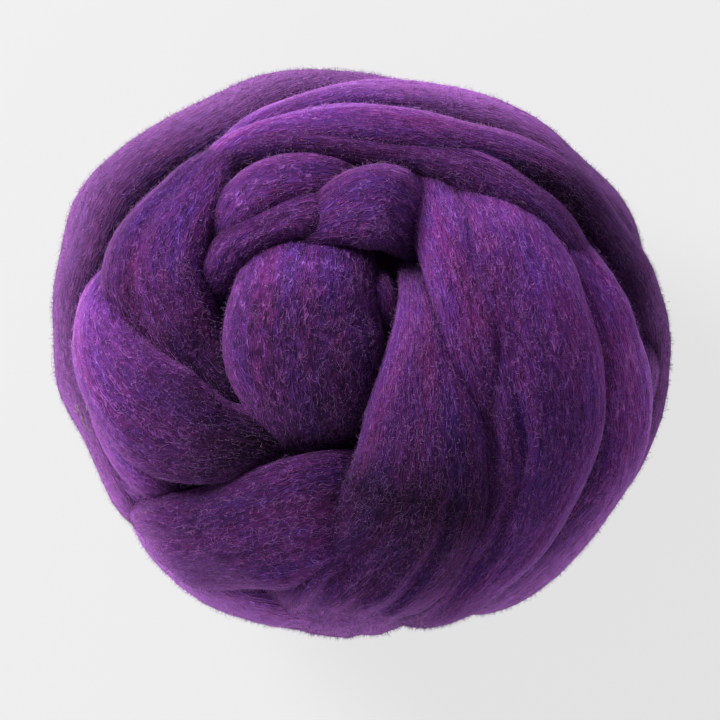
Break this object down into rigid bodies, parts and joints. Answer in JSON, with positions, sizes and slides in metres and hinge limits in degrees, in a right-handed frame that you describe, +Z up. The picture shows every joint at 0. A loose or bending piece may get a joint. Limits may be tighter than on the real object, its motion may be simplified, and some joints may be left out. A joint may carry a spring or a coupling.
{
  "type": "ball of wool roving",
  "caption": "Soft flattened ball wound from one length of combed wool roving, in broad overlapping turns, with a small flat spot to rest on.",
  "frame": {"origin": "on the resting plane, under the middle of the ball's plan box", "axes": "+X along the ball's longest side, to the right as seen from the front; +Y away from the front; +Z up"},
  "size_m": [0.1434, 0.132, 0.0873],
  "materials": {
    "wool": "matt heathered purple wool fibres with a soft fuzzy surface"
  },
  "bodies": {
    "root": {"roving_ball": "wool"}
  },
  "joints": []
}
